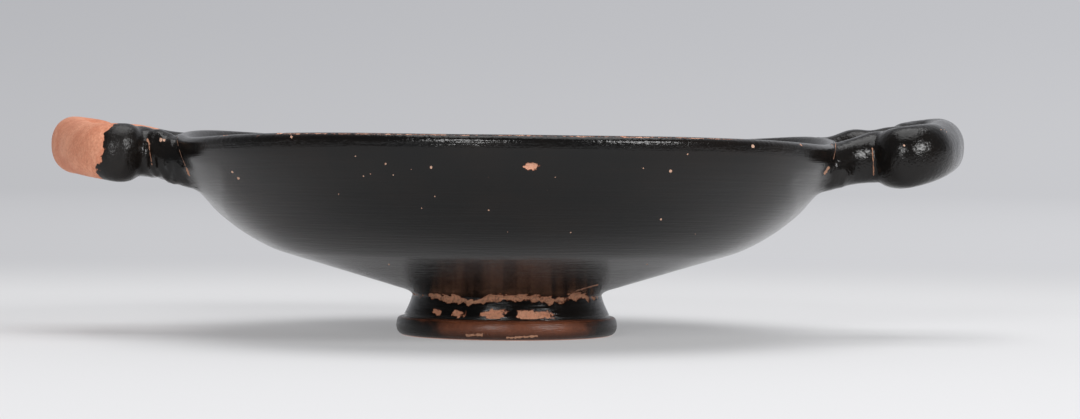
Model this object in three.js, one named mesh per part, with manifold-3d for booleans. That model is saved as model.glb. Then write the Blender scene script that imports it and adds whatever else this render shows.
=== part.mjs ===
// A black-gloss stemless kylix: a shallow wheel-thrown bowl on a moulded ring foot, with two
// looped horizontal handles pinched in between root and lobe. It is one piece of fired clay.
// Millimetres, +Z up, the origin on the ground in the middle of the cup's length and width.
import * as THREE from 'three';
import { ParametricGeometry } from 'three/addons/geometries/ParametricGeometry.js';
import { mergeVertices } from 'three/addons/utils/BufferGeometryUtils.js';
import Module from 'manifold-3d';

// Bowl
const rimRadius = 87.5;        // greatest radius, just below the lip
const rimHeight = 52;          // top of the lip
const lipHeight = 3;           // the lip turns in over this height
const lipWidth = 2.3;          // from the greatest radius in to the lip's crest
const rimWall = 4.1;           // wall at the rim
const floorWall = 5.2;         // wall where the bowl is a plain cone
const coneSlope = THREE.MathUtils.degToRad(16.8);
const coneStart = { radius: 29, height: 12.6 };
const coneEnd = 58;            // radius where the cone starts to turn up into the wall
const wallTurn = 16;           // reach of the curve out of the cone
const wallRise = 6;            // reach of the curve into the upright rim
const floorHeight = 15.4;      // inside floor on the axis

// Ring foot
const footContact = { inner: 21.4, outer: 27 };   // flat ring that the cup stands on
const footBulge = 29.05;       // greatest radius of the foot's rounded edge
const footEdge = 4.8;          // height of the rounded edge
const neckBase = { radius: 26.9, height: 5.5 };   // above the groove over the edge
const neckTop = { radius: 24.9, height: 10.6 };
const recessHeight = 8.5;      // hollow under the floor
const recessRadius = 14.5;

// Handles. Each is two arms out of the wall and a bow that joins them, pinched in between.
// Stations run along one half. along is 0 at the rim and 1 at the pinch on an arm, and 0 at
// the pinch and 1 at the far side of the bow; across is from the handle's middle; wide is the
// rod's width, and above and below are how far it reaches from the handle's own height.
const armStations = [
  { along: -0.7, across: 19.8, wide: 15.0, above: 4.8, below: 9.4 },
  { along: -0.35, across: 18.6, wide: 13.8, above: 4.9, below: 7.7 },
  { along: -0.1, across: 17.4, wide: 12.4, above: 4.9, below: 6.4 },
  { along: 0.25, across: 15.6, wide: 11.6, above: 5.2, below: 5.8 },
  { along: 0.7, across: 13.4, wide: 10.8, above: 6.4, below: 5.8 },
  { along: 1.0, across: 13.0, wide: 10.4, above: 6.4, below: 6.0 },
  { along: 1.35, across: 13.6, wide: 9.6, above: 6.0, below: 6.0 },
];
const bowStations = [
  { along: 0.0, across: 10.6, wide: 9.0, above: 5.6, below: 5.8 },
  { along: 0.2, across: 15.8, wide: 11.4, above: 6.9, below: 7.5 },
  { along: 0.46, across: 19.6, wide: 12.2, above: 7.2, below: 7.9 },
  { along: 0.8, across: 17.2, wide: 12.0, above: 7.3, below: 7.4 },
  { along: 0.98, across: 9.6, wide: 11.8, above: 7.2, below: 7.1 },
  { along: 1.0, across: 0.0, wide: 11.6, above: 7.1, below: 7.1 },
];
// side is +1 or -1 along X; pinch and bow are distances out from the rim; lean moves the far
// half outwards; height is the rod's at the rim, and it rises by rise for each millimetre out
const handles = [
  { side: 1, pinch: 12.6, bow: 26.3, lean: 0.22, height: 47.2, rise: 0.125 },
  { side: -1, pinch: 14.2, bow: 24.5, lean: 0.34, height: 46.5, rise: 0.07 },
];
const rodSquareness = 2.4;     // exponent of the rod's section, 2 for an ellipse

// Firing warp: each handle and the rim beside it is twisted, higher on its far side, and the
// rim sinks a little towards +X
const twist = 0.066;
const sink = 0.0044;
const twistSpread = 45;
const warpFoot = 13;           // no warp up to this height
const warpStart = 35;          // no warp inside this distance from the middle

// Facets
const turns = 64;
const rodSides = 14;
const armSteps = 13;
const bowSteps = 32;
const endLength = 0.1;         // share of a rod taken by each rounded end

const clay = new THREE.MeshStandardMaterial({ color: 0x1b1a19, roughness: 0.32, metalness: 0 });

const wasm = await Module();
wasm.setup();

function solidOf(geometry) {
  geometry.deleteAttribute('normal');
  geometry.deleteAttribute('uv');
  const merged = mergeVertices(geometry, 1e-4);
  const index = merged.index.array;
  const triangles = [];
  for (let i = 0; i < index.length; i += 3) {
    const [a, b, c] = index.slice(i, i + 3);
    if (a !== b && b !== c && c !== a) triangles.push(a, b, c);
  }
  return new wasm.Manifold(new wasm.Mesh({
    numProp: 3,
    vertProperties: merged.attributes.position.array,
    triVerts: Uint32Array.from(triangles),
  }));
}

function geometryOf(solid) {
  const mesh = solid.getMesh();
  const geometry = new THREE.BufferGeometry();
  geometry.setAttribute('position', new THREE.BufferAttribute(mesh.vertProperties, 3));
  geometry.setIndex(new THREE.BufferAttribute(mesh.triVerts, 1));
  return geometry;
}

// The cup's half section, as straight lines and as Bezier curves of a given number of steps
class Profile {
  constructor(x, y) {
    this.points = [new THREE.Vector2(x, y)];
  }

  line(x, y) {
    this.points.push(new THREE.Vector2(x, y));
    return this;
  }

  curve(steps, ...places) {
    const controls = [];
    for (let i = 0; i < places.length; i += 2) {
      controls.push(new THREE.Vector2(places[i], places[i + 1]));
    }
    const Kind = controls.length === 2 ? THREE.QuadraticBezierCurve : THREE.CubicBezierCurve;
    const bend = new Kind(this.points.at(-1), ...controls);
    this.points.push(...bend.getPoints(steps).slice(1));
    return this;
  }

  turned() {
    const geometry = new THREE.LatheGeometry(this.points, turns);
    geometry.rotateX(Math.PI / 2);
    return solidOf(geometry);
  }
}

// A point on the bowl's cone, raised off its outer face by part of the wall
function conePoint(radius, wall) {
  const height = coneStart.height + (radius - coneStart.radius) * Math.tan(coneSlope);
  return {
    x: radius - wall * Math.sin(coneSlope),
    y: height + wall * Math.cos(coneSlope),
  };
}

// The curve out of the cone into the upright wall, from low to the rim's start at that radius
function wallBend(low, radius) {
  const rimStart = rimHeight - lipHeight;
  return [
    low.x, low.y,
    low.x + wallTurn * Math.cos(coneSlope), low.y + wallTurn * Math.sin(coneSlope),
    radius, rimStart - wallRise,
    radius, rimStart,
  ];
}

function addFoot(profile) {
  const edgeIn = neckBase.radius - 0.2;
  profile
    .line(recessRadius, recessHeight - 0.3)
    .curve(4, recessRadius + 5.2, recessHeight - 1.2, footContact.inner - 0.6, 0.6)
    .line(footContact.inner, 0)
    .line(footContact.outer, 0)
    .curve(3, footBulge, 0.3, footBulge, footEdge * 0.55)
    .curve(3, footBulge - 0.1, footEdge, neckBase.radius + 0.9, footEdge)
    .line(edgeIn, footEdge + 0.1)
    .line(neckBase.radius, neckBase.height)
    .curve(2, neckTop.radius + 0.4, 8.4, neckTop.radius, neckTop.height)
    .curve(3, neckTop.radius + 0.4, coneStart.height - 0.9, coneStart.radius, coneStart.height);
}

function addWall(profile) {
  const [x, y, ...bend] = wallBend(conePoint(coneEnd, 0), rimRadius);
  profile.line(x, y).curve(10, ...bend);
}

function addLip(profile) {
  const crest = rimRadius - lipWidth;
  const inner = rimRadius - rimWall;
  profile
    .curve(3, rimRadius, rimHeight - 1.2, crest + 1.1, rimHeight, crest, rimHeight)
    .curve(3, crest - 1.1, rimHeight, inner + 0.1, rimHeight - 0.9,
      inner, rimHeight - lipHeight);
}

function addInside(profile) {
  const bend = wallBend(conePoint(coneEnd, floorWall), rimRadius - rimWall);
  const [x, y, turnX, turnY, riseX, riseY] = bend;
  const floorEdge = conePoint(coneStart.radius + 2, floorWall);
  profile
    .curve(8, riseX, riseY, turnX, turnY, x, y)
    .line(floorEdge.x, floorEdge.y)
    .curve(4, floorEdge.x - 9, floorEdge.y - 2.6, 11, floorHeight, 0, floorHeight);
}

function vessel() {
  const profile = new Profile(0, recessHeight);
  addFoot(profile);
  addWall(profile);
  addLip(profile);
  addInside(profile);
  return profile.turned();
}

// Everything inside the middle of the wall, to trim the handles' buried ends
function core() {
  const [x, y, ...bend] = wallBend(conePoint(coneEnd, floorWall / 2), rimRadius - rimWall / 2);
  const above = rimHeight + 20;
  return new Profile(0, y)
    .line(x, y)
    .curve(8, ...bend)
    .line(rimRadius - rimWall / 2, above)
    .line(0, above)
    .turned();
}

function placed(station, out, handle, half) {
  const across = station.across * half;
  const lean = across * handle.lean * THREE.MathUtils.smoothstep(out, -2, 20);
  const height = handle.height + handle.rise * Math.max(out, 0);
  return {
    centre: new THREE.Vector3(rimRadius + out + lean, across,
      height + (station.above - station.below) / 2),
    section: new THREE.Vector3(station.wide / 2, (station.above + station.below) / 2, 0),
  };
}

function squared(value) {
  return Math.sign(value) * Math.abs(value) ** (2 / rodSquareness);
}

// A rod swept along its stations, with an upright rounded section and rounded ends
function rod(stops, handle, steps) {
  const route = new THREE.CatmullRomCurve3(stops.map((stop) => stop.centre));
  const sections = new THREE.CatmullRomCurve3(stops.map((stop) => stop.section));
  const surface = (turn, along, target) => {
    const centre = route.getPoint(along);
    const ahead = route.getTangent(along);
    const size = sections.getPoint(along);
    const across = new THREE.Vector2(ahead.y, -ahead.x).normalize();
    const angle = -turn * 2 * Math.PI * handle.side;
    const fromEnd = Math.min(along, 1 - along) / endLength;
    const closing = fromEnd < 1 ? Math.sqrt(1 - (1 - fromEnd) ** 2) : 1;
    const sideways = size.x * squared(Math.cos(angle)) * closing;
    target.set(
      (centre.x + across.x * sideways) * handle.side,
      centre.y + across.y * sideways,
      centre.z + size.y * squared(Math.sin(angle)) * closing);
  };
  return solidOf(new ParametricGeometry(surface, rodSides, steps));
}

function handleSolid(handle) {
  const arm = (half) => armStations.map(
    (s) => placed(s, s.along * handle.pinch, handle, half));
  const bowHalf = (half) => bowStations.map(
    (s) => placed(s, handle.pinch + s.along * (handle.bow - handle.pinch), handle, half));
  const bow = [...bowHalf(-1), ...bowHalf(1).slice(0, -1).reverse()];
  return rod(arm(-1), handle, armSteps)
    .add(rod(arm(1), handle, armSteps))
    .add(rod(bow, handle, bowSteps));
}

function warp(geometry) {
  const place = geometry.attributes.position;
  for (let i = 0; i < place.count; i += 1) {
    const [x, y, z] = [place.getX(i), place.getY(i), place.getZ(i)];
    const outwards = THREE.MathUtils.smoothstep(Math.abs(x), warpStart, rimRadius);
    const upwards = THREE.MathUtils.smoothstep(z, warpFoot, rimHeight);
    const fade = Math.exp(-((y / twistSpread) ** 2));
    place.setZ(i, z + (twist * y * fade * outwards - sink * x) * upwards);
  }
  return geometry;
}

function cup() {
  const trim = core();
  const body = handles.reduce(
    (solid, handle) => solid.add(handleSolid(handle).subtract(trim)), vessel());
  const mesh = new THREE.Mesh(warp(geometryOf(body)), clay);
  mesh.name = 'cup';
  return mesh;
}

const kylix = new THREE.Group();
kylix.add(cup());
export default kylix;
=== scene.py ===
import math
import random

import bmesh
import bpy
from mathutils import Matrix, Vector, noise
from mathutils.geometry import interpolate_bezier


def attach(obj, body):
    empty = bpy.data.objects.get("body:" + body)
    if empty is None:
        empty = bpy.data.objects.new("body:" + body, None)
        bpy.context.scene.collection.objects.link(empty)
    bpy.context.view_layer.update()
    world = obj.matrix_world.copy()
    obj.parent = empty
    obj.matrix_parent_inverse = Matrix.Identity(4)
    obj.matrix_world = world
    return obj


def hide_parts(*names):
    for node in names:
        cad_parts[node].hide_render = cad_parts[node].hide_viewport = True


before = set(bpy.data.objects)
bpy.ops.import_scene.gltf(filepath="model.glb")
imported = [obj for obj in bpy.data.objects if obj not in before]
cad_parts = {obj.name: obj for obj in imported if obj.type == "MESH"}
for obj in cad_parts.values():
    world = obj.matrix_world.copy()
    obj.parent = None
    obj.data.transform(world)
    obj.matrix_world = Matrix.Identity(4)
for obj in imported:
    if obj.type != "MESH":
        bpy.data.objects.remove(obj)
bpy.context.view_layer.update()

mm = 0.001

# The cup is shaped in millimetres and scaled to metres when it is finished.
bowl = {
    "rimRadius": 87.5, "rimHeight": 52.0, "lipHeight": 3.0, "lipWidth": 2.3,
    "rimWall": 4.1, "floorWall": 5.2, "coneSlope": math.radians(16.8),
    "coneRadius": 29.0, "coneHeight": 12.6, "coneEnd": 58.0,
    "wallTurn": 16.0, "wallRise": 6.0, "floorHeight": 15.4, "turns": 252,
    "lipPull": 1.2, "crestPull": 1.1, "innerPull": (0.1, 0.9), "floorPull": (9, 2.6, 11),
}
foot = {
    "contactInner": 21.4, "contactOuter": 27.0, "bulge": 29.05, "edge": 4.8,
    "bulgeLow": 0.3, "bulgeMiddle": 0.55, "ledge": 0.9, "groove": (0.2, 0.1),
    "neckBase": (26.9, 5.5), "neckTop": (24.9, 10.6), "neckPull": (0.4, 8.4),
    "recessHeight": 8.5, "recessRadius": 14.5, "recessDome": 0.3,
    "recessPull": (5.2, 1.2), "recessEnd": 0.6,
}
# Each station: along the arm or bow, across, width, reach above and below
armStations = [
    (-0.7, 19.8, 15.0, 4.8, 9.4), (-0.35, 18.6, 13.8, 4.9, 7.7), (-0.1, 17.4, 12.4, 4.9, 6.4),
    (0.25, 15.6, 11.6, 5.2, 5.8), (0.7, 13.4, 10.8, 6.4, 5.8), (1.0, 13.0, 10.4, 6.4, 6.0),
    (1.35, 13.6, 9.6, 6.0, 6.0),
]
bowStations = [
    (0.0, 10.6, 9.0, 5.6, 5.8), (0.2, 15.8, 11.4, 6.9, 7.5), (0.46, 19.6, 12.2, 7.2, 7.9),
    (0.8, 17.2, 12.0, 7.3, 7.4), (0.98, 9.6, 11.8, 7.2, 7.1), (1.0, 0.0, 11.6, 7.1, 7.1),
]
handles = {
    "right": {"side": 1, "pinch": 12.6, "bow": 26.3, "lean": 0.22, "height": 47.2, "rise": 0.125},
    "left": {"side": -1, "pinch": 14.2, "bow": 24.5, "lean": 0.34, "height": 46.5, "rise": 0.07},
}
rodShape = {"squareAbove": 2.0, "squareBelow": 2.4, "sides": 40, "stepsPerSpan": 7,
            "closedSpan": 0.1, "voxel": 0.62, "smoothing": 12}
warpShape = {"twist": 0.066, "sink": 0.0044, "spread": 45.0, "foot": 13.0, "start": 35.0}


def smoothstep(value, low, high):
    t = min(max((value - low) / (high - low), 0.0), 1.0)
    return t * t * (3 - 2 * t)


class Profile:
    # A half section in the XZ plane, drawn with lines and Bezier curves and then spun
    def __init__(self, x, z):
        self.points = [Vector((x, 0, z))]

    def line(self, x, z, steps=1):
        start, end = self.points[-1], Vector((x, 0, z))
        self.points += [start.lerp(end, (i + 1) / steps) for i in range(steps)]
        return self

    def curve(self, steps, *places):
        start = self.points[-1]
        ends = [Vector((x, 0, z)) for x, z in zip(places[::2], places[1::2])]
        if len(ends) == 2:  # one control point stands for two
            control, end = ends
            ends = [start.lerp(control, 2 / 3), end.lerp(control, 2 / 3), end]
        self.points += interpolate_bezier(start, *ends, steps + 1)[1:]
        return self

    def spun(self, name, turns):
        bm = bmesh.new()
        verts = [bm.verts.new(p) for p in self.points]
        edges = [bm.edges.new(pair) for pair in zip(verts, verts[1:])]
        bmesh.ops.spin(bm, geom=verts + edges, cent=(0, 0, 0), axis=(0, 0, 1), dvec=(0, 0, 0),
                       angle=2 * math.pi, steps=turns, use_merge=True, use_duplicate=False)
        bmesh.ops.remove_doubles(bm, verts=bm.verts, dist=1e-3)
        bmesh.ops.recalc_face_normals(bm, faces=bm.faces)
        return objectFrom(bm, name)


def objectFrom(bm, name):
    mesh = bpy.data.meshes.new(name)
    bm.to_mesh(mesh)
    bm.free()
    made = bpy.data.objects.new(name, mesh)
    bpy.context.collection.objects.link(made)
    return made


def conePoint(radius, wall):
    slope = bowl["coneSlope"]
    height = bowl["coneHeight"] + (radius - bowl["coneRadius"]) * math.tan(slope)
    return radius - wall * math.sin(slope), height + wall * math.cos(slope)


def wallBend(low, radius):
    slope, reach = bowl["coneSlope"], bowl["wallTurn"]
    rimStart = bowl["rimHeight"] - bowl["lipHeight"]
    return [low[0] + reach * math.cos(slope), low[1] + reach * math.sin(slope),
            radius, rimStart - bowl["wallRise"], radius, rimStart]


def drawFoot(profile):
    baseR, baseZ = foot["neckBase"]
    topR, topZ = foot["neckTop"]
    pullR, pullZ = foot["neckPull"]
    grooveR, grooveZ = foot["groove"]
    recessR, recessZ, inset = foot["recessRadius"], foot["recessHeight"], foot["recessEnd"]
    edge, bulge = foot["edge"], foot["bulge"]
    profile.line(recessR, recessZ - foot["recessDome"], 6)
    profile.curve(10, recessR + foot["recessPull"][0], recessZ - foot["recessPull"][1],
                  foot["contactInner"] - inset, inset)
    profile.line(foot["contactInner"], 0).line(foot["contactOuter"], 0, 5)
    profile.curve(7, bulge, foot["bulgeLow"], bulge, edge * foot["bulgeMiddle"])
    profile.curve(7, bulge - 0.1, edge, baseR + foot["ledge"], edge)
    profile.line(baseR - grooveR, edge + grooveZ).line(baseR, baseZ)
    profile.curve(9, topR + pullR, pullZ, topR, topZ)
    profile.curve(9, topR + pullR, bowl["coneHeight"] - 0.9, bowl["coneRadius"], bowl["coneHeight"])


def drawBowl(profile):
    rimZ, lip, wall = bowl["rimHeight"], bowl["lipHeight"], bowl["rimWall"]
    rimR, crest = bowl["rimRadius"], bowl["rimRadius"] - bowl["lipWidth"]
    inner, pull = rimR - wall, bowl["crestPull"]
    innerR, innerZ = bowl["innerPull"]
    floorR, floorDrop, middle = bowl["floorPull"]
    low = conePoint(bowl["coneEnd"], 0)
    profile.line(*low, 24).curve(42, *wallBend(low, rimR))
    profile.curve(8, rimR, rimZ - bowl["lipPull"], crest + pull, rimZ, crest, rimZ)
    profile.curve(8, crest - pull, rimZ, inner + innerR, rimZ - innerZ, inner, rimZ - lip)
    low = conePoint(bowl["coneEnd"], bowl["floorWall"])
    turnX, turnZ, riseX, riseZ, _, _ = wallBend(low, inner)
    floorX, floorZ = conePoint(bowl["coneRadius"] + 2, bowl["floorWall"])
    profile.curve(30, riseX, riseZ, turnX, turnZ, *low).line(floorX, floorZ, 12)
    profile.curve(14, floorX - floorR, floorZ - floorDrop, middle, bowl["floorHeight"],
                  0, bowl["floorHeight"])


def makeVessel():
    profile = Profile(0, foot["recessHeight"])
    drawFoot(profile)
    drawBowl(profile)
    return profile.spun("vessel", bowl["turns"])


def makeCore():
    # What lies inside the middle of the wall, to trim the handles' buried ends
    middle = bowl["rimRadius"] - bowl["rimWall"] / 2
    low = conePoint(bowl["coneEnd"], bowl["floorWall"] / 2)
    top = bowl["rimHeight"] + 20
    profile = Profile(0, low[1]).line(*low).curve(16, *wallBend(low, middle))
    return profile.line(middle, top).line(0, top).spun("core", 96)


def splined(points, steps):
    # A centripetal spline through the points, one Bezier for each span
    ends = [2 * points[0] - points[1]] + points + [2 * points[-1] - points[-2]]
    line = []
    for a, b, c, d in zip(ends, ends[1:], ends[2:], ends[3:]):
        gaps = [(q - p).length for p, q in ((a, b), (b, c), (c, d))]
        before, span, after = [max(gap ** 0.5, 1e-2) for gap in gaps]
        leave = ((b - a) / before - (c - a) / (before + span) + (c - b) / span) * span
        arrive = ((c - b) / span - (d - b) / (span + after) + (d - c) / after) * span
        line += interpolate_bezier(b, b + leave / 3, c - arrive / 3, c, steps + 1)[:-1]
    return line + [points[-1]]


def stopAt(station, out, handle, half):
    _, across, wide, above, below = station
    across *= half
    x = bowl["rimRadius"] + out + across * handle["lean"] * smoothstep(out, -2, 20)
    z = handle["height"] + handle["rise"] * max(out, 0) + (above - below) / 2
    return Vector((x, across, z)), Vector((wide / 2, (above + below) / 2, 0))


def sweepRod(bm, stops):
    steps = rodShape["stepsPerSpan"]
    route = splined([stop[0] for stop in stops], steps)
    sizes = splined([stop[1] for stop in stops], steps)
    last = len(route) - 1
    ring = bmesh.ops.create_circle(bm, cap_ends=True, segments=rodShape["sides"], radius=1)["verts"]
    for v in ring:  # an upright section, its lower half a little squarer than an ellipse
        square = rodShape["squareAbove" if v.co.y > 0 else "squareBelow"]
        for axis in range(2):
            v.co[axis] = math.copysign(abs(v.co[axis]) ** (2 / square), v.co[axis])
    edges = list({e for v in ring for e in v.link_edges})
    placed = Matrix.Identity(4)
    for i, (centre, size) in enumerate(zip(route, sizes)):
        ahead = route[min(i + 1, last)] - route[max(i - 1, 0)]
        across = Vector((ahead.y, -ahead.x, 0)).normalized()
        fromEnd = min(i, last - i) / last / rodShape["closedSpan"]
        closing = math.sqrt(max(1 - (1 - fromEnd) ** 2, 0.003)) if fromEnd < 1 else 1
        place = Matrix((across * size.x * closing, (0, 0, size.y * closing),
                        ahead.normalized())).transposed().to_4x4()
        place.translation = centre
        if i:
            grown = bmesh.ops.extrude_edge_only(bm, edges=edges)["geom"]
            ring = [g for g in grown if isinstance(g, bmesh.types.BMVert)]
            edges = [g for g in grown if isinstance(g, bmesh.types.BMEdge)
                     and g.verts[0] in ring and g.verts[1] in ring]
        bmesh.ops.transform(bm, matrix=place @ placed.inverted(), verts=ring)
        placed = place
    bmesh.ops.contextual_create(bm, geom=edges)


def makeHandle(name, handle):
    pinch, bow = handle["pinch"], handle["bow"]
    bm = bmesh.new()
    halves = []
    for half in (-1, 1):
        sweepRod(bm, [stopAt(s, s[0] * pinch, handle, half) for s in armStations])
        halves.append([stopAt(s, pinch + s[0] * (bow - pinch), handle, half) for s in bowStations])
    sweepRod(bm, halves[0] + halves[1][-2::-1])
    bmesh.ops.scale(bm, vec=(handle["side"], 1, 1), verts=bm.verts)
    bmesh.ops.recalc_face_normals(bm, faces=bm.faces)
    made = objectFrom(bm, name)
    blendRods = made.modifiers.new("blend rods", "REMESH")
    blendRods.mode = "VOXEL"
    blendRods.voxel_size = rodShape["voxel"]
    soften = made.modifiers.new("soften", "SMOOTH")
    soften.iterations = rodShape["smoothing"]
    return made


def addBoolean(made, other, operation):
    cut = made.modifiers.new(operation.lower(), "BOOLEAN")
    cut.operation = operation
    cut.object = other
    cut.solver = "EXACT"


def applied(made):
    # The object again, with its modifiers made into plain mesh
    seen = made.evaluated_get(bpy.context.evaluated_depsgraph_get())
    made.data = bpy.data.meshes.new_from_object(seen)
    made.modifiers.clear()
    return made


def joinCup():
    vessel, core = makeVessel(), makeCore()
    print("vessel turned:", len(vessel.data.polygons), "faces")
    spare = [bpy.data.materials.new(name) for name in ("of bowl", "of handle")]
    rods = [makeHandle(name, handle) for name, handle in handles.items()]
    for made in rods:
        addBoolean(made, core, "DIFFERENCE")
        applied(made)
    for made in (vessel, *rods):
        made.data.materials.clear()
        for material in spare:
            made.data.materials.append(material)
    for made in rods:  # marked, so that the joint can be found again
        made.data.polygons.foreach_set("material_index", [1] * len(made.data.polygons))
        addBoolean(vessel, made, "UNION")
    cup = applied(vessel)
    for made in (core, *rods):
        bpy.data.objects.remove(made)
    print("handles joined:", len(cup.data.polygons), "faces")
    return cup


def warpHeight(co):
    w = warpShape
    outwards = smoothstep(abs(co.x), w["start"], bowl["rimRadius"])
    upwards = smoothstep(co.z, w["foot"], bowl["rimHeight"])
    fade = math.exp(-((co.y / w["spread"]) ** 2))
    return (w["twist"] * co.y * fade * outwards - w["sink"] * co.x) * upwards


# Dents and swellings left by the potter's fingers: centre, reach, movement
pushes = [
    ((103.0, -20, 42.0), (11.0, 14, 6.0), (0.0, 0.0, -1.2)),
    ((-118.0, 10, 48.0), (8.0, 22, 9.0), (-0.8, 0.0, 0.0)),
    ((91.5, 17, 53.5), (4.0, 8, 5.0), (0.0, 0.0, 1.3)),
    ((97.5, 14, 53.0), (2.6, 9, 5.0), (0.0, 0.0, -0.5)),
    ((-86.5, -17, 52.0), (4.0, 7, 3.5), (0.0, 0.0, -0.5)),
    ((-90.0, -19, 53.0), (7.0, 9, 6.0), (0.0, 0.0, 2.3)),
    ((91.0, -19, 53.0), (6.0, 8, 6.0), (0.0, 0.0, 1.3)),
    ((90.0, -22, 46.0), (4.5, 6, 6.0), (0.0, 1.3, 0.0)),
]


def pushed(at):
    moved = Vector((0, 0, 0))
    for centre, reach, move in pushes:
        apart = sum(((at[i] - centre[i]) / reach[i]) ** 2 for i in range(3))
        if apart < 9:
            moved += Vector(move) * math.exp(-apart)
    return moved


# Layers of unevenness: height, size, seed
relief = {
    "whole": [(0.12, 34, 1.0)],
    "wheel": [(0.02, 1.6, 3.3), (0.03, 5.0, 1.3)],
    "handle": [(0.36, 12, 2.5), (0.06, 4.5, 7.5)],
    "ripples": [(0.6, 1.8, 4.2)],
    "handle loss": [(1.6, 5.5, 3.0), (1.3, 2.2, 8.0), (0.7, 1.0, 5.0)],
    "foot loss": [(0.75, 2.4, 2.0), (0.5, 1.1, 6.0)],
    "back band": [(0.9, 9, 4.0)],
    "back patches": [(1.6, 4.5, 9.0)],
    "nick": [(0.25, 0.7, 4.4)],
    "chip": [(0.55, 1.2, 6.1)],
}
lipSwell = {"radius": 85.8, "height": 50.9, "reach": 0.85, "lift": 0.38}
joint = {"lowBelow": 45, "lowWidth": 11, "lowRounds": 60, "rounds": 2}


def uneven(place, kind):
    total = 0.0
    for height, size, seed in relief[kind]:
        total += height * noise.noise(place / size + Vector((seed, seed * 1.7, seed * 0.6)))
    return total


# Where the gloss is gone: the chip and the patches are x, z and half sizes, the band is x, z
wear = {
    "chip": (6.6, 44.5, 1.35, 0.95), "chipDepth": 0.3, "chipReach": 4, "chipFiner": 2.6,
    "band": [(-18.4, 10.7), (-13.7, 10.1), (-8.9, 9.5), (-3.4, 10.7), (4.3, 10.7), (12.4, 10.1),
             (18.2, 11.0), (22.4, 10.2), (25.5, 10.6)],
    "bandHalf": 0.85, "bandDepth": 0.28, "bandMiddle": 1.5, "bandBack": 10.2,
    "neckPatches": [(-17.6, 6.7, 0.9, 0.6), (-12.3, 6.7, 1.4, 0.8), (-3.0, 6.5, 2.7, 1.3),
                    (6.8, 6.3, 4.4, 1.35)],
    "neckFrom": 5.2, "neckTo": 13.5, "neckRadius": 30,
    "bareSide": -102.4, "bareSideBack": -94.0, "leftHandle": -80,
    "nicks": 40, "nickSeed": 11, "nickDepth": 0.55, "nickFrom": 49.5, "lipFall": 0.28,
    "none": -9.0,
}


def alongBand(x):
    for (x0, z0), (x1, z1) in zip(wear["band"], wear["band"][1:]):
        if x0 <= x <= x1:
            return z0 + (z1 - z0) * smoothstep(x, x0, x1)
    return wear["band"][0][1] if x < 0 else wear["band"][-1][1]


def bareHandle(co):
    # How far a point lies past the ragged line where the left handle lost its gloss
    back = smoothstep(co.y, -14, 12)
    edge = wear["bareSide"] + (wear["bareSideBack"] - wear["bareSide"]) * back
    edge += uneven(co, "handle loss")
    edge += (2.0 * smoothstep(co.z, 51.5, 54) - 1.8 * smoothstep(-co.z, -47, -44)) * (1 - back)
    return edge - co.x


def bareFoot(co, radius):
    # How far a point lies inside the flaked band or a patch of the foot's neck
    if co.z >= wear["neckTo"] or radius >= wear["neckRadius"]:
        return wear["none"]
    ragged = uneven(co, "foot loss")
    onNeck = co.z > wear["neckFrom"]
    if co.y >= 0:
        best = uneven(co, "back band") - 0.15 - abs(co.z - wear["bandBack"]) + ragged
        return max(best, uneven(co, "back patches") - 0.85) if onNeck else best
    half = wear["bandHalf"] * (1 - 0.9 * smoothstep(abs(co.x - wear["bandMiddle"]), 17, 23))
    best = half - abs(co.z - alongBand(co.x)) + ragged
    if onNeck:
        for x, z, halfWide, halfHigh in wear["neckPatches"]:
            reach = math.hypot((co.x - x) / halfWide, (co.z - z) / halfHigh)
            best = max(best, (1 - reach) * halfHigh + ragged * 0.8)
    return best


def placeNicks():
    # Small losses along the lip, the same each time
    draw = random.Random(wear["nickSeed"])
    crest = bowl["rimRadius"] - bowl["lipWidth"]
    for _ in range(wear["nicks"]):
        turn = draw.uniform(0, 2 * math.pi)
        out = draw.uniform(0.2, 1.9)
        size = 0.25 + 0.75 * draw.random() ** 2.5
        r = crest + out
        z = bowl["rimHeight"] - wear["lipFall"] * out ** 2
        yield Vector((r * math.cos(turn), r * math.sin(turn), z)), size


def vertsNear(faces, rounds):
    near = {v for f in faces for v in f.verts}
    for _ in range(rounds):
        near |= {e.other_vert(v) for v in list(near) for e in v.link_edges}
    return list(near)


def wipeJoints(bm):
    # The slip wiped smooth where a handle meets the wall, most of all below
    seam = [f for f in bm.faces if f.material_index == 1
            and any(g.material_index == 0 for e in f.edges for g in e.link_faces)]
    low = [v for v in vertsNear(seam, joint["lowWidth"]) if v.co.z < joint["lowBelow"]]
    around = [(vertsNear(seam, width), joint["rounds"]) for width in (2, 1)]
    for verts, rounds in [(low, joint["lowRounds"])] + around:
        for _ in range(rounds):
            bmesh.ops.smooth_vert(bm, verts=verts, factor=0.5,
                                  use_axis_x=True, use_axis_y=True, use_axis_z=True)


def refine(bm, faces, cuts, rings=False):
    edges = {e for f in faces for e in f.edges}
    if rings:  # only edges that run round the bowl
        edges = {e for e in edges if abs(e.verts[0].co.z - e.verts[1].co.z) < 0.02
                 and e.calc_length() > 1.2}
    bmesh.ops.subdivide_edges(bm, edges=list(edges), cuts=cuts, use_grid_fill=True)


def refineWorn(bm, nicks):
    # A finer mesh where the lip, the chip and the nicks need it
    lip = [f for f in bm.faces if f.material_index == 0 and f.calc_center_median().z > 50.2]
    refine(bm, lip, 1, rings=True)
    x, z, _, _ = wear["chip"]
    middles = [(f, f.calc_center_median()) for f in bm.faces]
    around = [(f, math.hypot(at.x - x, at.z - z)) for f, at in middles if at.y < -60]
    refine(bm, [f for f, away in around if away < wear["chipFiner"]], 3)
    for centre, size in nicks:
        middles = [(f, f.calc_center_median()) for f in bm.faces]
        refine(bm, [f for f, at in middles if at.z > 50 and (at - centre).length < size + 0.7], 2)


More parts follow.
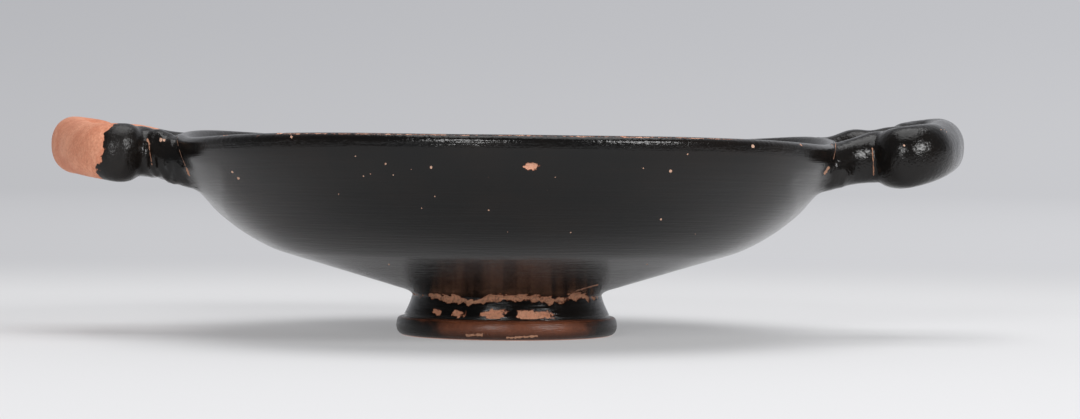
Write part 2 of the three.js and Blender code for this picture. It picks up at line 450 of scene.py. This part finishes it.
def markVerts(bm):
    # Where each point was drawn, and what part of the cup it belongs to
    marks = {"drawn": bm.verts.layers.float_vector.new("drawn")}
    for name in ("bare", "handle", "inside", "ridge"):
        marks[name] = bm.verts.layers.float.new(name)
    for v in bm.verts:
        co = v.co.copy()
        v[marks["drawn"]] = co
        isHandle = max(f.material_index for f in v.link_faces) if v.link_faces else 0
        v[marks["handle"]] = isHandle
        facesIn = v.normal.x * co.x + v.normal.y * co.y < 0.15 * math.hypot(co.x, co.y)
        v[marks["inside"]] = 1.0 if facesIn and not isHandle and co.z > 14 else 0.0
        bend = [(e.other_vert(v).co - co).normalized().dot(v.normal) for e in v.link_edges]
        v[marks["ridge"]] = -sum(bend) / max(len(bend), 1)
    return marks


def handleLift(co, at):
    # Ripples are left on the near arm of the left handle, beside the joint
    rippled = smoothstep(-co.y, 8, 12) * smoothstep(-co.x, 84, 86) * smoothstep(co.x, -93, -90)
    ripples = uneven(Vector((at.x, at.y * 0.5, at.z * 0.8)), "ripples")
    return uneven(at, "handle") + rippled * ripples


def vesselLift(co, at, radius):
    lift = uneven(at, "whole")
    if radius > lipSwell["radius"]:  # the lip stands a little fuller on the outside
        lift += lipSwell["lift"] * math.exp(-(((at.z - lipSwell["height"]) / lipSwell["reach"]) ** 2))
    lift += uneven(Vector((radius, at.z, 0)), "wheel")
    return lift * 0.3 if co.z < 5 else lift


def wornAt(co, at, radius, nicks):
    # How far inside a loss a point of the bowl or foot lies, and how deep the loss is there
    loss = bareFoot(co, radius)
    depth = wear["bandDepth"] * smoothstep(loss, -0.15, 0.45)
    for centre, size in nicks if at.z > wear["nickFrom"] else ():
        reach = size - (at - centre).length
        if reach > -0.8:
            loss = max(loss, reach + uneven(at, "nick"))
            depth += wear["nickDepth"] * size * smoothstep(reach, -0.1, 0.7)
    x, z, wide, high = wear["chip"]
    if co.y < -60 and max(abs(co.x - x), abs(co.z - z)) < wear["chipReach"]:
        reach = math.hypot((co.x - x) / wide, (co.z - z) / high)
        reach = (1 - reach) * high + uneven(at, "chip")
        loss = max(loss, reach)
        depth += wear["chipDepth"] * smoothstep(reach, -0.1, 0.35)
    return loss, depth


def shapeSurface(bm, marks, nicks):
    for v in bm.verts:
        v.co.z += warpHeight(v.co)
        v.co += pushed(v[marks["drawn"]])
    for v in bm.verts:
        co, at = v.co, v[marks["drawn"]]
        radius = math.hypot(at.x, at.y)
        if v[marks["handle"]]:
            loss = bareHandle(co) if co.x < wear["leftHandle"] else wear["none"]
            lift = handleLift(co, at)
        else:
            loss, depth = wornAt(co, at, radius, nicks)
            lift = vesselLift(co, at, radius) - depth
        v[marks["bare"]] = loss
        if co.z >= 0.02 or radius <= 15:  # the ring that the cup stands on stays flat
            v.co += v.normal * lift


def finishCup(cup):
    bm = bmesh.new()
    bm.from_mesh(cup.data)
    wipeJoints(bm)
    nicks = list(placeNicks())
    refineWorn(bm, nicks)
    bm.normal_update()
    shapeSurface(bm, markVerts(bm), nicks)
    for f in bm.faces:
        f.material_index = 0
        f.smooth = True
    bmesh.ops.scale(bm, vec=(mm, mm, mm), verts=bm.verts)
    bm.normal_update()
    bm.to_mesh(cup.data)
    bm.free()
    cup.data.materials.clear()
    print("cup finished:", len(cup.data.polygons), "faces")


class Wire:
    # A node's output; arithmetic on it adds Math nodes
    def __init__(self, bench, socket):
        self.bench = bench
        self.socket = socket

    def math(self, operation, *others):
        values = dict(enumerate([self, *others]))
        return self.bench.add("ShaderNodeMath", {"operation": operation}, values)

    def __add__(self, other):
        return self.math("ADD", other)

    __radd__ = __add__

    def __sub__(self, other):
        return self.math("SUBTRACT", other)

    def __rsub__(self, other):
        return (self * -1) + other

    def __mul__(self, other):
        return self.math("MULTIPLY", other)

    def __truediv__(self, other):
        return self.math("DIVIDE", other)

    def __neg__(self):
        return self * -1

    def __abs__(self):
        return self.math("ABSOLUTE")

    def orMore(self, other):
        return self.math("MAXIMUM", other)

    def orLess(self, other):
        return self.math("MINIMUM", other)

    def fade(self, low, high):
        # 0 below low and 1 above high
        settings = {"interpolation_type": "SMOOTHSTEP", "clamp": True}
        values = {"Value": self, "From Min": low, "From Max": high}
        return self.bench.add("ShaderNodeMapRange", settings, values)


class Bench:
    # One material, and every way its nodes are made
    def __init__(self, name, owner=None):
        self.material = owner or bpy.data.materials.new(name)
        self.material.use_nodes = True
        self.tree = self.material.node_tree
        self.tree.nodes.clear()

    def add(self, kind, settings=None, values=None, output=0):
        node = self.tree.nodes.new(kind)
        for key, value in (settings or {}).items():
            setattr(node, key, value)
        for key, value in (values or {}).items():
            if isinstance(value, Wire):
                self.tree.links.new(value.socket, node.inputs[key])
            else:
                node.inputs[key].default_value = value
        return Wire(self, node.outputs[output]) if node.outputs else node

    def attribute(self, name, output="Fac"):
        return self.add("ShaderNodeAttribute", {"attribute_name": name}, output=output)

    def vector(self, operation, *values, output=0):
        settings = {"operation": operation}
        return self.add("ShaderNodeVectorMath", settings, dict(enumerate(values)), output)

    def join(self, x, y, z):
        return self.add("ShaderNodeCombineXYZ", values={0: x, 1: y, 2: z})

    def split(self, place):
        return [self.add("ShaderNodeSeparateXYZ", values={0: place}, output=i) for i in range(3)]

    def noise(self, place, size, detail=3.0, roughness=0.55):
        # Between about -1 and 1
        values = {"Vector": place, "Scale": 1 / size, "Detail": detail, "Roughness": roughness}
        return (self.add("ShaderNodeTexNoise", values=values) - 0.5) * 3.2

    def mix(self, factor, a, b):
        settings = {"data_type": "RGBA", "clamp_factor": True}
        return self.add("ShaderNodeMix", settings, {0: factor, 6: a, 7: b}, output=2)

    def tint(self, red, green, blue):
        return (red, green, blue, 1.0)


# Finish of the cup, with places in millimetres
finish = {
    "black": (0.0046, 0.0045, 0.0044), "warmBlack": (0.0105, 0.0075, 0.0060),
    "thinSlip": (0.25, 0.082, 0.04), "speck": (0.56, 0.43, 0.33), "scraped": (0.34, 0.20, 0.125),
    "clay": (0.66, 0.24, 0.135), "paleClay": (0.86, 0.41, 0.26), "dullClay": (0.64, 0.34, 0.205),
    "pore": (0.10, 0.045, 0.03),
    "glossRoughness": 0.16, "clayRoughness": 0.72, "torusRoughness": 0.14, "lossRoughness": 0.15,
    "ior": 1.38, "bump": 0.8, "neckTop": 13.5, "torusTop": 5.2, "washHalf": 23.0, "washMiddle": 1.0,
}
# Worn edges, as (radius, 0, height), and the clay kept bare below
wornEdges = {
    "lip": (86.35, 0, 51.55), "lipWear": 0.10, "lipRagged": 0.50, "lipSpared": 0.45,
    "foot": (28.0, 0, 4.55), "footWear": 0.34, "footRagged": 0.45, "footBare": 0.35,
    "underRadius": 20.9, "underHeight": 9.0, "ringRadius": 27.6, "ringHeight": 0.55,
}
# Heights of the surface's layers, in millimetres
texture = {
    "slip": 0.05, "wheel": 0.03, "wheelLow": 0.05, "fine": 0.010, "grain": 0.009, "pits": 0.03,
    "dimples": 0.05, "handled": 0.012, "clay": 0.05, "dullClay": 0.08, "clayGrain": 0.02,
}
# Front specks: x, z, radius
specks = [
    (-51.1, 51.1, 0.42), (-35.2, 46.6, 0.22), (-28.0, 44.8, 0.30), (-17.1, 44.1, 0.36),
    (-31.7, 42.4, 0.20), (-33.4, 41.9, 0.22), (-26.2, 42.2, 0.20), (-21.8, 43.6, 0.16),
    (-16.4, 37.2, 0.20), (-19.6, 34.3, 0.16), (-3.6, 41.9, 0.18), (-3.6, 34.0, 0.22),
    (10.3, 38.9, 0.16), (12.1, 42.0, 0.14), (0.9, 28.7, 0.18), (16.0, 28.7, 0.20),
    (33.0, 44.2, 0.24), (39.6, 43.6, 0.42), (43.6, 47.6, 0.20), (60.0, 49.7, 0.50),
    (37.8, 31.9, 0.28), (35.4, 20.2, 0.22), (46.8, 28.1, 0.14), (-28.9, 19.8, 0.22),
    (-67.2, 42.5, 0.34), (-65.6, 41.0, 0.40), (-39.7, 37.5, 0.18), (101.3, 50.4, 0.34),
    (-88.7, 50.5, 0.52), (-87.9, 50.4, 0.42), (111.7, 54.5, 0.22), (112.8, 54.6, 0.20),
    (113.3, 54.0, 0.20),
]
# Scraped lines: two ends (x, z) and half width
scrapes = [
    ((-84.6, 51.2), (-80.9, 42.2), 0.10), ((-81.2, 43.0), (-80.5, 41.3), 0.26),
    ((-92.0, 50.2), (-90.8, 43.7), 0.11), ((-92.3, 50.6), (-91.6, 49.4), 0.24),
    ((84.6, 51.6), (83.2, 46.8), 0.11), ((81.6, 44.6), (80.8, 43.2), 0.38),
    ((93.8, 49.6), (94.3, 42.7), 0.14), ((18.0, 12.6), (23.4, 14.3), 0.20),
    ((-9.8, 1.2), (-6.0, 1.5), 0.35), ((0.5, 0.8), (8.0, 1.2), 0.28),
]


class Ground:
    # What the finish is laid out by: places in millimetres, marks and the common noises
    def __init__(self, bench):
        metres = bench.add("ShaderNodeTexCoord", output=3)
        scaled = {0: metres, "Scale": 1 / mm}
        place = bench.add("ShaderNodeVectorMath", {"operation": "SCALE"}, scaled)
        drawnX, drawnY, drawnZ = bench.split(bench.attribute("drawn", "Vector"))
        self.place = place
        self.x, y, self.z = bench.split(place)
        self.front = (-y).fade(-2.0, 2.0)
        self.height = drawnZ
        self.radius = (drawnX * drawnX + drawnY * drawnY).math("SQRT")
        self.turn = drawnY.math("ARCTAN2", drawnX)
        self.section = bench.join(self.radius, 0.0, drawnZ)
        self.footRows = bench.join(self.turn * 28, self.radius, drawnZ)
        self.handle = bench.attribute("handle")
        self.inside = bench.attribute("inside")
        self.fine = bench.noise(place, 0.9, 3.0)
        self.broad = bench.noise(place, 22, 3.0)
        wheelRows = bench.join(self.radius, drawnZ, self.turn * 3.0)  # long round the wheel
        self.streaks = bench.noise(wheelRows, 0.7, 4.0)
        self.onTorus = (finish["torusTop"] - drawnZ).fade(0.0, 0.5)
        self.dull = (finish["neckTop"] - drawnZ).fade(0.0, 2.0) * (
            (drawnZ - 8.0).fade(0.0, 1.5) * 0.4 + 0.4)


def most(reaches):
    best = reaches[0]
    for reach in reaches[1:]:
        best = best.orMore(reach)
    return best


def struck(bench, on):
    # How far inside a speck and a scraped line each point of the front is
    flat = bench.join(on.x, 0.0, on.z)
    rough = bench.noise(flat, 0.8, 2.0)
    spots = []
    for x, z, radius in specks:
        spots.append(radius - bench.vector("DISTANCE", flat, (x, 0, z), output=1))
    lines = []
    for (x0, z0), (x1, z1), half in scrapes:
        start, run = Vector((x0, 0, z0)), Vector((x1 - x0, 0, z1 - z0))
        lead = bench.vector("SUBTRACT", flat, start)
        along = bench.vector("DOT_PRODUCT", lead, run, output=1) / run.length_squared
        along = along.orMore(0.0).orLess(1.0)
        nearest = bench.join(along * run.x, 0.0, along * run.z)
        away = bench.vector("DISTANCE", lead, nearest, output=1)
        lines.append((half - away) + rough * (0.12 + half * 0.6) - 0.03)
    hidden = (1 - on.front) + on.inside
    speck = (most(spots) + rough * 0.18 - 0.06) * on.front - hidden
    scrape = most(lines) * on.front - hidden
    return speck.fade(-0.02, 0.06), scrape.fade(-0.04, 0.08)


def lipWear(bench, on):
    away = bench.vector("DISTANCE", on.section, wornEdges["lip"], output=1)
    rows = bench.join(on.turn * bowl["rimRadius"], on.radius * 3.0, on.height * 3.0)
    width = bench.noise(rows, 4.0, 6.0, 0.7) * wornEdges["lipRagged"] + wornEdges["lipWear"]
    width = width - abs(on.x).fade(50, 66) * wornEdges["lipSpared"]  # less worn towards the handles
    width = width - bench.noise(rows, 1.1, 2.0).fade(-0.2, 0.5) * 0.3
    return (width - away) * (1 - on.handle) - on.handle


def footWear(bench, on):
    away = bench.vector("DISTANCE", on.section, wornEdges["foot"], output=1)
    width = bench.noise(on.footRows, 3.5, 5.0, 0.65) * wornEdges["footRagged"] + wornEdges["footWear"]
    return (width - away).orLess(1 - on.inside)


def ridgeWear(bench, on):
    # Sharp ridges lose their gloss, on the handles only
    ridges = bench.attribute("ridge") * 6 + bench.noise(on.place, 2.2, 4.0, 0.65) * 0.5 - 1.75
    return ridges - (1 - on.handle) * 9


def reserved(on):
    # The clay left bare in the ring of the foot and where it stands
    under = (wornEdges["underRadius"] - on.radius).orLess(wornEdges["underHeight"] - on.height)
    ring = (wornEdges["ringHeight"] - on.height) + on.fine * 0.3
    return under.orMore(ring.orLess(wornEdges["ringRadius"] - on.radius))


def blackSlip(bench, on, bare, foot):
    # Black gloss, turned brown where it is thin: on the foot's torus and beside each loss
    # On the torus the brown is kept to the middle in x and fades towards the bottom, so the torus shows
    # darker at its sides and bottom
    middle = (finish["washHalf"] - abs(on.x - finish["washMiddle"])).fade(-4.0, 12.0)
    wash = (middle + bench.noise(on.footRows, 6.0, 4.0) * 0.45).fade(0.1, 0.95)
    mottle = bench.noise(on.footRows, 1.6, 4.0, 0.7) * 0.3 + 0.75
    wash = wash * on.onTorus * ((on.height - 0.6).fade(0.0, 2.6) * 0.7 + 0.3) * mottle
    wash = wash.orMore(foot.fade(-0.5, 0.2) * (0.4 + middle * 0.6))
    warm = (on.broad * 0.5 + on.streaks * 0.22 + 0.35).fade(0.0, 1.0)
    black = bench.mix(warm, bench.tint(*finish["black"]), bench.tint(*finish["warmBlack"]))
    black = bench.mix(wash * 0.9, black, bench.tint(*finish["thinSlip"]))
    return bench.mix(bare.fade(-0.22, 0.0) * 0.75, black, bench.tint(*finish["thinSlip"]))


def firedClay(bench, on, lip, speck, scrape):
    # Orange clay, duller and full of pores on the foot, paler in specks and along the lip
    tone = bench.noise(on.place, 7.0, 4.0) * 0.5 + bench.noise(on.place, 0.6, 2.0) * 0.35 + 0.4
    colour = bench.mix(tone.fade(0.0, 1.0), bench.tint(*finish["clay"]), bench.tint(*finish["paleClay"]))
    colour = bench.mix(on.dull, colour, bench.tint(*finish["dullClay"]))
    pores = bench.noise(on.place, 1.0, 4.0, 0.8).fade(-0.2, 0.6) * (0.12 + on.dull * 0.85)
    colour = bench.mix(pores, colour, bench.tint(*finish["pore"]))
    onWall = (on.height - 30).fade(0.0, 1.0) * (1 - on.handle)
    pale = (speck * 0.85).orMore(lip.fade(-0.1, 0.0) * 0.6).orMore(onWall * 0.4)
    colour = bench.mix(pale * (0.8 + on.fine * 0.3), colour, bench.tint(*finish["speck"]))
    return bench.mix(scrape * 0.7, colour, bench.tint(*finish["scraped"]))


def surfaceRoughness(on, clay):
    glossy = finish["glossRoughness"] + on.broad * 0.03 + on.streaks * 0.03 + on.fine * 0.015
    glossy = glossy + on.handle * (-on.x).fade(92, 99) * finish["lossRoughness"]
    glossy = glossy + on.onTorus * finish["torusRoughness"]
    return glossy * (1 - clay) + clay * finish["clayRoughness"]


def surfaceHeight(bench, on, clay):
    t = texture
    pits = bench.noise(on.place, 1.1, 2.0).fade(0.95, 1.35)
    grain = bench.noise(on.place, 0.55, 3.0, 0.6)
    dimples = bench.noise(on.place, 1.3, 2.0, 0.6)
    clayGrain = bench.noise(on.place, 0.35, 2.0)
    handled = on.handle.orMore((on.height - 47.5).fade(0.0, 3.0))  # rubbed finely uneven
    turned = t["wheel"] + (22.0 - on.height).fade(0.0, 6.0) * t["wheelLow"] * (1 - on.handle)
    height = (1 - clay) * t["slip"] + on.streaks * turned + on.fine * t["fine"]
    height = height + grain * t["grain"] - pits * t["pits"]
    height = height + (dimples * t["dimples"] + on.fine * t["handled"]) * handled
    onClay = on.fine * (t["clay"] + on.dull * t["dullClay"]) + clayGrain * t["clayGrain"]
    return height + clay * onClay


def makeGloss():
    bench = Bench("black_gloss_pottery")
    on = Ground(bench)
    speck, scrape = struck(bench, on)
    lip, foot = lipWear(bench, on), footWear(bench, on)
    flaked = bench.attribute("bare") + on.fine * 0.45
    bare = most([flaked, lip, foot - wornEdges["footBare"], reserved(on), ridgeWear(bench, on)])
    clay = most([bare.fade(-0.03, 0.07), speck, scrape])
    colour = bench.mix(clay, blackSlip(bench, on, bare, foot), firedClay(bench, on, lip, speck, scrape))
    bump = {"Strength": finish["bump"], "Distance": mm, "Height": surfaceHeight(bench, on, clay)}
    shader = bench.add("ShaderNodeBsdfPrincipled", values={
        "Base Color": colour, "Roughness": surfaceRoughness(on, clay),
        "Normal": bench.add("ShaderNodeBump", values=bump), "IOR": finish["ior"]})
    bench.add("ShaderNodeOutputMaterial", values={"Surface": shader})
    print("gloss laid:", len(bench.tree.nodes), "nodes")
    return bench.material


cup = joinCup()
finishCup(cup)
cup.name = "kylix_cup"
cup.data.materials.append(makeGloss())
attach(cup, "root")
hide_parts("cup")

# The studio from here on is in metres
view = {
    "lens": 100, "sensor": 36, "nearest": 0.01, "place": (0.0085, -0.790, 0.0460),
    "tip": math.radians(90 - 0.945), "roll": math.radians(-0.4),
}
studio = {
    "floorSize": 30.0, "floorDrop": 0.0001, "floor": (0.80, 0.80, 0.81), "glow": 0.31,
    # the far floor's glowing tone is painted light and shade: dimmer than the lit floor
    "backdropGlow": (0.61, 0.613, 0.635), "horizon": (0.548, 0.552, 0.575), "upper": (0.505, 0.51, 0.535),
    "fadeCentre": (0, -0.15, 0), "fadeFrom": 0.38, "fadeTo": 0.80, "farFrom": 0.8, "farTo": 4.0,
    "upperFrom": 0.06, "front": 0.22, "leftToRight": 0.36,
}
lamps = {
    "overhead": {"place": (0.1, 0.0, 1.2), "aim": (0, 0, 0), "size": (1.2, 1.0), "power": 9.5},
    "right front": {"place": (1.0, -0.95, 0.60), "aim": (0, 0, 0.02), "size": (0.48, 0.4),
                    "power": 10.5},
    "left front": {"place": (-0.35, -1.35, 0.5), "aim": (0, 0, 0.03), "size": (0.4, 0.3),
                   "power": 6.0},
}


def toned(bench, colour, across, tone=1.0):
    # The air is a little lighter to the right
    tone = (across * studio["leftToRight"] + 1) * tone
    return bench.vector("MULTIPLY", colour, bench.join(tone, tone, tone))


def makeFloor():
    bm = bmesh.new()
    bmesh.ops.create_grid(bm, x_segments=1, y_segments=1, size=studio["floorSize"])
    bmesh.ops.translate(bm, verts=bm.verts, vec=(0, 0, -studio["floorDrop"]))
    floor = objectFrom(bm, "floor")
    bench = Bench("pale_floor")
    place = bench.add("ShaderNodeTexCoord", output=3)
    # Far off, the floor glows in a backdrop tone, painted light and shade: dimmer than the lit floor,
    # darker further off and lighter to the right
    away = bench.vector("DISTANCE", place, studio["fadeCentre"], output=1)
    backdropShare = away.fade(studio["fadeFrom"], studio["fadeTo"])
    far = away.fade(studio["farFrom"], studio["farTo"])
    seen = bench.vector("ADD", place, (0, -view["place"][1], 0))  # from below the camera
    x, y, _ = bench.split(bench.vector("NORMALIZE", seen))
    tone = bench.mix(far, bench.tint(*studio["backdropGlow"]), bench.tint(*studio["horizon"]))
    matte = bench.add("ShaderNodeBsdfDiffuse", values={"Color": bench.tint(*studio["floor"])})
    glow = bench.add("ShaderNodeEmission", values={"Color": bench.tint(*studio["floor"])})
    backdropGlow = bench.add("ShaderNodeEmission", values={"Color": toned(bench, tone, x * y)})
    lit = bench.add("ShaderNodeMixShader", values={0: studio["glow"], 1: matte, 2: glow})
    shown = bench.add("ShaderNodeMixShader", values={0: backdropShare, 1: lit, 2: backdropGlow})
    bench.add("ShaderNodeOutputMaterial", values={"Surface": shown})
    floor.data.materials.append(bench.material)


def makeAir():
    world = bpy.data.worlds.new("studio air")
    bpy.context.scene.world = world
    bench = Bench("studio air", world)
    x, y, z = bench.split(bench.add("ShaderNodeTexCoord"))
    raised = z.fade(0, studio["upperFrom"])
    tone = bench.mix(raised, bench.tint(*studio["horizon"]), bench.tint(*studio["upper"]))
    unlit = studio["front"]  # the side of the room behind the camera
    behind = (y * 0.5 + 0.5).fade(0.45, 0.98) * (1 - unlit) + unlit
    air = bench.add("ShaderNodeBackground", values={"Color": toned(bench, tone, x * y, behind)})
    bench.add("ShaderNodeOutputWorld", values={"Surface": air})


def hangLamp(name, lamp):
    light = bpy.data.lights.new(name, "AREA")
    light.shape = "RECTANGLE"
    light.size, light.size_y = lamp["size"]
    light.energy = lamp["power"]
    made = bpy.data.objects.new(name, light)
    bpy.context.collection.objects.link(made)
    made.location = lamp["place"]
    ray = Vector(lamp["aim"]) - Vector(lamp["place"])
    made.rotation_euler = ray.to_track_quat("-Z", "Y").to_euler()


def setCamera():
    lens = bpy.data.cameras.new("camera")
    lens.lens = view["lens"]
    lens.sensor_width = view["sensor"]
    lens.clip_start = view["nearest"]
    camera = bpy.data.objects.new("camera", lens)
    bpy.context.collection.objects.link(camera)
    camera.location = view["place"]
    camera.rotation_euler = (view["tip"], view["roll"], 0)
    bpy.context.scene.camera = camera


makeFloor()
makeAir()
for name, lamp in lamps.items():
    hangLamp(name, lamp)
setCamera()
bpy.context.scene.view_settings.view_transform = "Standard"
print("studio set:", len(lamps), "lamps")

print("scene complete")
